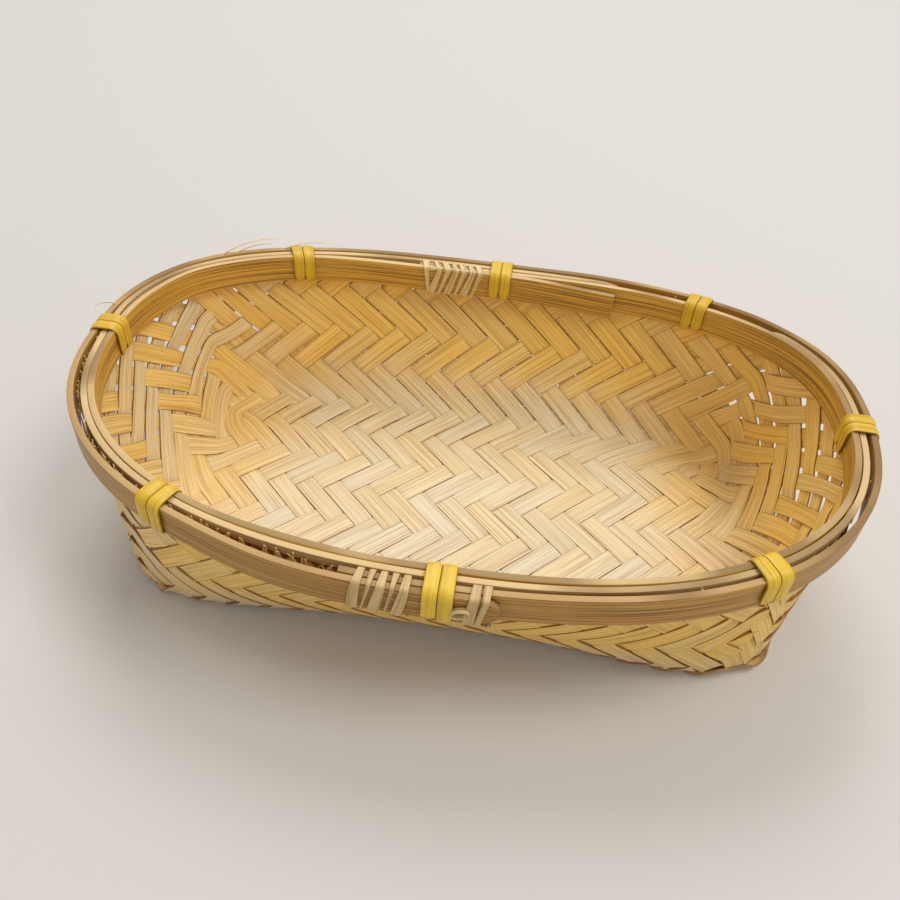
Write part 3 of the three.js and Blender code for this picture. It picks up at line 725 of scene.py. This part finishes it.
# Windings round the rim: stops along each side and corner of a turn, rows across the strip,
# the share of its thickness that its edges are rounded by, and what sets each kind's look. A
# cane tie is drawn narrow over part of a turn on either side of the hole where it passes
# through the weave.
SIDE_STOPS = 5
CORNER_STOPS = 4
QUARTER_STOPS = SIDE_STOPS + CORNER_STOPS
STOPS_PER_TURN = 4 * QUARTER_STOPS
WINDING_ROWS = 7
WINDING_BEVEL = 0.3
CANE_RADIUS = 2 * MM
CANE_CROWN = 0.22 * MM
CANE_THINNING = 0.75
CANE_WAIST = 0.35
CANE_TAPER = 0.14
CANE_SPREAD = 0.7
LASHING_RADIUS = 0.6 * MM
LASHING_CROWN = 0.05 * MM
LEAN_START = 0.6


def turn_stops(faces, radius):
    """One turn round a rounded rectangle across the rim, from its lower outer corner up,
    over, down inside and back under: shares of the turn, points and ways off the face."""
    bottom, top = -HOOP_HEIGHT - SEAT_GAP, SEAT_GAP
    width = max(faces) - min(faces) - 2 * radius
    height = top - bottom - 2 * radius
    middle = np.array([sum(faces) / 2, (top + bottom) / 2])
    corner = np.array([width / 2, -height / 2])
    walked = 0
    shares, points, offs = [], [], []
    for side in range(4):
        length = height if side % 2 == 0 else width
        facing = side * math.pi / 2
        way = np.array([-math.sin(facing), math.cos(facing)])
        for i in range(QUARTER_STOPS):
            straight = min(i / SIDE_STOPS, 1)
            turned = facing + math.pi / 2 * max(i - SIDE_STOPS, 0) / CORNER_STOPS
            off = np.array([math.cos(turned), math.sin(turned)])
            shares.append(walked + length * straight + radius * (turned - facing))
            points.append(corner + way * length * straight + off * radius + middle)
            offs.append(off)
        corner = corner + way * length
        walked += length + radius * math.pi / 2
    return np.array(shares) / walked, np.array(points), np.array(offs)


def winding(name, angle, stops, count, along, width, thickness, crown, material, tone_and_painted_light):
    """A strip wound round the rim at an angle over a count of stops. Its place along the rim
    and its width are functions of the turns made."""
    shares, points, offs = stops
    index = np.arange(count + 1)
    turn = index // STOPS_PER_TURN + shares[index % STOPS_PER_TURN]
    at, off = points[index % STOPS_PER_TURN], offs[index % STOPS_PER_TURN]
    across = np.linspace(-1, 1, WINDING_ROWS)
    rows = []
    for share in across:
        place = at + off * (thickness / 2 + crown * (1 - share**2))
        rim = rim_frame(angle, along(turn) + share * width(turn) / 2)
        rows.append(rim_place(rim, place[:, 0], place[:, 1]))
    grid = np.stack(rows, 1)
    lengths = walked_along(grid[:, WINDING_ROWS // 2]) + chance.uniform(0, GRAIN_SPREAD)
    breadths = across * float(np.max(width(turn))) / 2
    return bent_strip(name, grid, lengths, breadths, thickness, [material], tone_and_painted_light, thickness * WINDING_BEVEL)


def cane_tie(number, angle):
    """Two turns of cane side by side round both hoops, narrow where they pass the weave."""
    faces = (-last_face(INNER_HOOP, angle) - SEAT_GAP, last_face(OUTER_HOOP, angle) + SEAT_GAP)
    stops = turn_stops(faces, CANE_RADIUS)
    hole = stops[0][3 * QUARTER_STOPS]
    shift = CANE_WIDTH + TURN_GAP

    def along(turn):
        whole = np.floor(turn)
        return shift * (whole - 0.5 + ramp(turn - whole, hole, 1 - hole))

    def width(turn):
        full = CANE_WIDTH + TURN_GAP * CANE_SPREAD
        from_hole = np.abs(np.mod(turn, 1) - hole)
        return full * (CANE_WAIST + (1 - CANE_WAIST) * ramp(from_hole, 0, CANE_TAPER))

    count = STOPS_PER_TURN + 3 * QUARTER_STOPS
    tie = winding(
        f"cane_wrap_{number}", angle, stops, count, along, width,
        CANE_THICKNESS * CANE_THINNING, CANE_CROWN, cane, chance.uniform(0, 0.6),
    )
    dress(tie, "cane_tie", f"cane_tie_{number}")


def lashing(name, place, hoop, lean, upright_turns, narrow, tone_and_painted_light):
    """A fine strip spiralling round the two layers of one hoop, wide and narrow by turns.
    Its turns lean on the face that shows, after the first ones, which stand upright."""
    start, end, turns = place
    angle = (start + end) / 2
    faces = (hoop["side"] * (HOOP_FIRST_FACE - SEAT_GAP), hoop["side"] * (last_face(hoop, angle) + SEAT_GAP))
    stops = turn_stops(faces, LASHING_RADIUS)
    reach = math.copysign(float(np.linalg.norm(rim_frame(start)[0] - rim_frame(end)[0])), end - start)
    showing = 0 if hoop["side"] > 0 else 2 * QUARTER_STOPS
    first = stops[0][showing]
    last = stops[0][showing + SIDE_STOPS]

    def along(turn):
        past = np.mod(turn - first, 1)
        tilt = np.interp(past, (0, last - first, 1), (-0.5, 0.5, -0.5))
        return reach * (turn / turns - 0.5) + lean * tilt * ramp(turn, upright_turns, LEAN_START)

    def width(turn):
        return (WIDE_TURN + narrow) / 2 + (WIDE_TURN - narrow) / 2 * np.cos(math.pi * turn)

    wound = winding(
        name + "_wound", angle, stops, turns * STOPS_PER_TURN, along, width,
        LASHING_THICKNESS, LASHING_CROWN, lash_bamboo, tone_and_painted_light,
    )
    dress(wound, "bamboo_lashing", name)


for i, angle in enumerate(TIE_ANGLES):
    cane_tie(i + 1, angle)
lashing(
    "back_lashing", BACK_LASHING, INNER_HOOP,
    lean=4 * MM, upright_turns=1, narrow=NARROW_TURN * 0.6, tone_and_painted_light=0.25,
)
lashing(
    "front_lashing", FRONT_LASHING, OUTER_HOOP,
    lean=1 * MM, upright_turns=0, narrow=NARROW_TURN / 3, tone_and_painted_light=0.6,
)
lashing(
    "front_end_lashing", FRONT_END_LASHING, OUTER_HOOP,
    lean=0.8 * MM, upright_turns=0, narrow=NARROW_TURN, tone_and_painted_light=0.6,
)


def lashing_loop():
    """The slack loop of shaving that the last front turns leave beside the tie."""
    angle = 273.4
    stops = 16
    breadths = np.array([-0.9, 0, 0.9]) * MM
    rim = rim_frame(np.full(stops, angle))
    standoff = last_face(OUTER_HOOP, angle) + 1.1 * MM
    middle = rim_place(rim, np.full(stops, standoff), -4.6 * MM)
    turned = np.radians(np.linspace(-40, 290, stops))[:, None]
    out = np.array([*rim[1][0], 0])
    ahead = np.array([-out[1], out[0], 0])
    up = np.array([0, 0, 1])
    ring = middle + np.cos(turned) * ahead * 2.3 * MM + np.sin(turned + 0.4) * up * 1.4 * MM
    points = ring[:, None] + out * breadths[:, None]
    loop = bent_strip("lashing_loop", points, walked_along(ring), breadths, 0.35 * MM, [lash_bamboo], 0.3)
    dress(loop, "bamboo_lashing")


lashing_loop()

# Loose ends: slivers torn off the mat's edge, and fibres standing off the rim. Heights are
# from the hoops' top edge.
SLIVER_TIP = 0.35
TORN_FOOT = -8 * MM
TORN_THICKNESS = 0.2 * MM
FIBRE_WIDTH = 0.45 * MM
FIBRE_THICKNESS = 0.25 * MM
FIBRE_ROOT = 1.2 * MM


def sliver(name, path, side, width, thickness, tone_and_painted_light):
    """A thin sliver along a path, tapering to its tip."""
    taper = np.linspace(1, SLIVER_TIP, len(path))[:, None, None]
    edges = np.array([-0.5, 0.5]) * width
    points = path[:, None] + side * edges[:, None] * taper
    lengths = walked_along(path) + chance.uniform(0, GRAIN_SPREAD)
    return bent_strip(name, points, lengths, edges, thickness, [weave_bamboo], tone_and_painted_light)


def joined(name, pieces):
    bpy.ops.object.select_all(action="DESELECT")
    for piece in pieces:
        piece.select_set(True)
    bpy.context.view_layer.objects.active = pieces[0]
    bpy.ops.object.join()
    pieces[0].name = name
    bpy.ops.object.select_all(action="DESELECT")
    return pieces[0]


def torn_ends():
    """Split ends of the mat that stand up between the cover strip and the outer hoop: dense
    from the back left round to the front, and few elsewhere."""
    pieces = []
    climb = np.array([0, 0.4, 0.75, 1])
    for angle in np.concatenate([chance.uniform(140, 257, 190), chance.uniform(0, 360, 60)]):
        top = -chance.uniform(0.5, 3) * MM
        lean = chance.normal(0, 1.6) * MM * climb**1.5
        rim = rim_frame(np.full(climb.shape, angle), lean)
        outward = chance.uniform(0.8, 1.3) * MM + 0.3 * MM * climb * chance.uniform(-1, 1)
        path = rim_place(rim, outward, TORN_FOOT + (top - TORN_FOOT) * climb)
        side = np.array([-rim[1][0][1], rim[1][0][0], 0])
        width = chance.uniform(0.5, 2.2) * MM
        # The torn ends are drawn deeper than the weave's strips: painted shade of the narrow gap between the
        # cover strip and the outer hoop.
        tone_and_painted_light = chance.uniform(0.3, 1)
        pieces.append(sliver("torn", path, side, width, TORN_THICKNESS, tone_and_painted_light))
    dress(joined("torn_strip_ends", pieces), "bamboo_weave", "woven_mat")


# Each fibre's rim angle, its reach back along the rim, and its way out and up over it.
FIBRES = (
    (141, 22 * MM, 3 * MM, 3.6 * MM),
    (138, 14 * MM, 1.5 * MM, 2.2 * MM),
    (129, 16 * MM, 2.5 * MM, 1.6 * MM),
    (171, -6 * MM, 4 * MM, 2.6 * MM),
    (168, 5 * MM, 3.4 * MM, 1.8 * MM),
    (98.5, -7 * MM, -3 * MM, 0.8 * MM),
)


def loose_fibres():
    pieces = []
    share = np.linspace(0, 1, 9)
    for angle, reach, out, up in FIBRES:
        hoop = OUTER_HOOP if out > 0 else INNER_HOOP
        root = math.copysign(last_face(hoop, angle) - FIBRE_ROOT, out)
        rim = rim_frame(np.full(share.shape, angle), -reach * share)
        path = rim_place(rim, root + out * share, up * np.sin(share * 2.2) - 0.2 * MM)
        pieces.append(sliver("fibre", path, np.array([0, 0, 1]), FIBRE_WIDTH, FIBRE_THICKNESS, 0.5))
    dress(joined("loose_fibres", pieces), "bamboo_lashing")


torn_ends()
loose_fibres()

# Stage, light and camera.
bpy.ops.mesh.primitive_plane_add(size=12)
floor = bpy.context.object
floor.name = "studio_floor"
paper = bpy.data.materials.new("studio_paper")
paper.use_nodes = True
paper.node_tree.nodes["Principled BSDF"].inputs["Base Color"].default_value = linear("#D0CBC5")
paper.node_tree.nodes["Principled BSDF"].inputs["Roughness"].default_value = 0.9
floor.data.materials.append(paper)

world = bpy.data.worlds.new("studio")
bpy.context.scene.world = world
world.use_nodes = True
sky = world.node_tree
light = sky.nodes["Background"]
light.inputs[0].default_value = (1, 1, 1, 1)
light.inputs[1].default_value = 0.54
# What is seen of the world, directly or in gloss, is a wall as pale as the paper.
ray = node(sky, "ShaderNodeLightPath", {}).outputs
wall = node(sky, "ShaderNodeBackground", {}, Color=linear("#D8D1CA"))
in_gloss = {0: ray["Is Glossy Ray"], 1: ray["Is Transmission Ray"]}
through = node(sky, "ShaderNodeMath", in_gloss, operation="MAXIMUM")
in_view = {0: ray["Is Camera Ray"], 1: through.outputs[0]}
seen = node(sky, "ShaderNodeMath", in_view, operation="MAXIMUM")
mixed = node(sky, "ShaderNodeMixShader", {0: seen.outputs[0], 1: light.outputs[0], 2: wall.outputs[0]})
sky.links.new(mixed.outputs[0], sky.nodes["World Output"].inputs["Surface"])


def lamp(name, place, size, power):
    bpy.ops.object.light_add(type="AREA", location=place)
    made = bpy.context.object
    made.name = name
    made.data.size = size
    made.data.energy = power
    made.rotation_euler = (Vector((0, 0, 0.02)) - Vector(place)).to_track_quat("-Z", "Y").to_euler()


lamp("window", (-0.25, 1.25, 1.85), 1, 20)
lamp("ceiling", (0.9, -0.1, 1.7), 0.8, 14)

# The camera as fitted to the photograph: its lens, its eye and its right, up and back.
camera_data = bpy.data.cameras.new("photo_camera")
camera = bpy.data.objects.new("photo_camera", camera_data)
bpy.context.scene.collection.objects.link(camera)
camera_data.sensor_width = 36
camera_data.lens = 34.55
camera_data.clip_start = 0.01
right = Vector((0.9891, 0.1366, 0.0553))
up = Vector((-0.1336, 0.6726, 0.7279))
back = Vector((0.0622, -0.7273, 0.6835))
eye = Vector((12.8 * MM, -215.8 * MM, 231.1 * MM)) + Vector((*RIM_MIDDLE, 0))
camera.matrix_world = Matrix.Translation(eye) @ Matrix((right, up, back)).transposed().to_4x4()
bpy.context.scene.camera = camera
bpy.context.scene.view_settings.view_transform = "Standard"
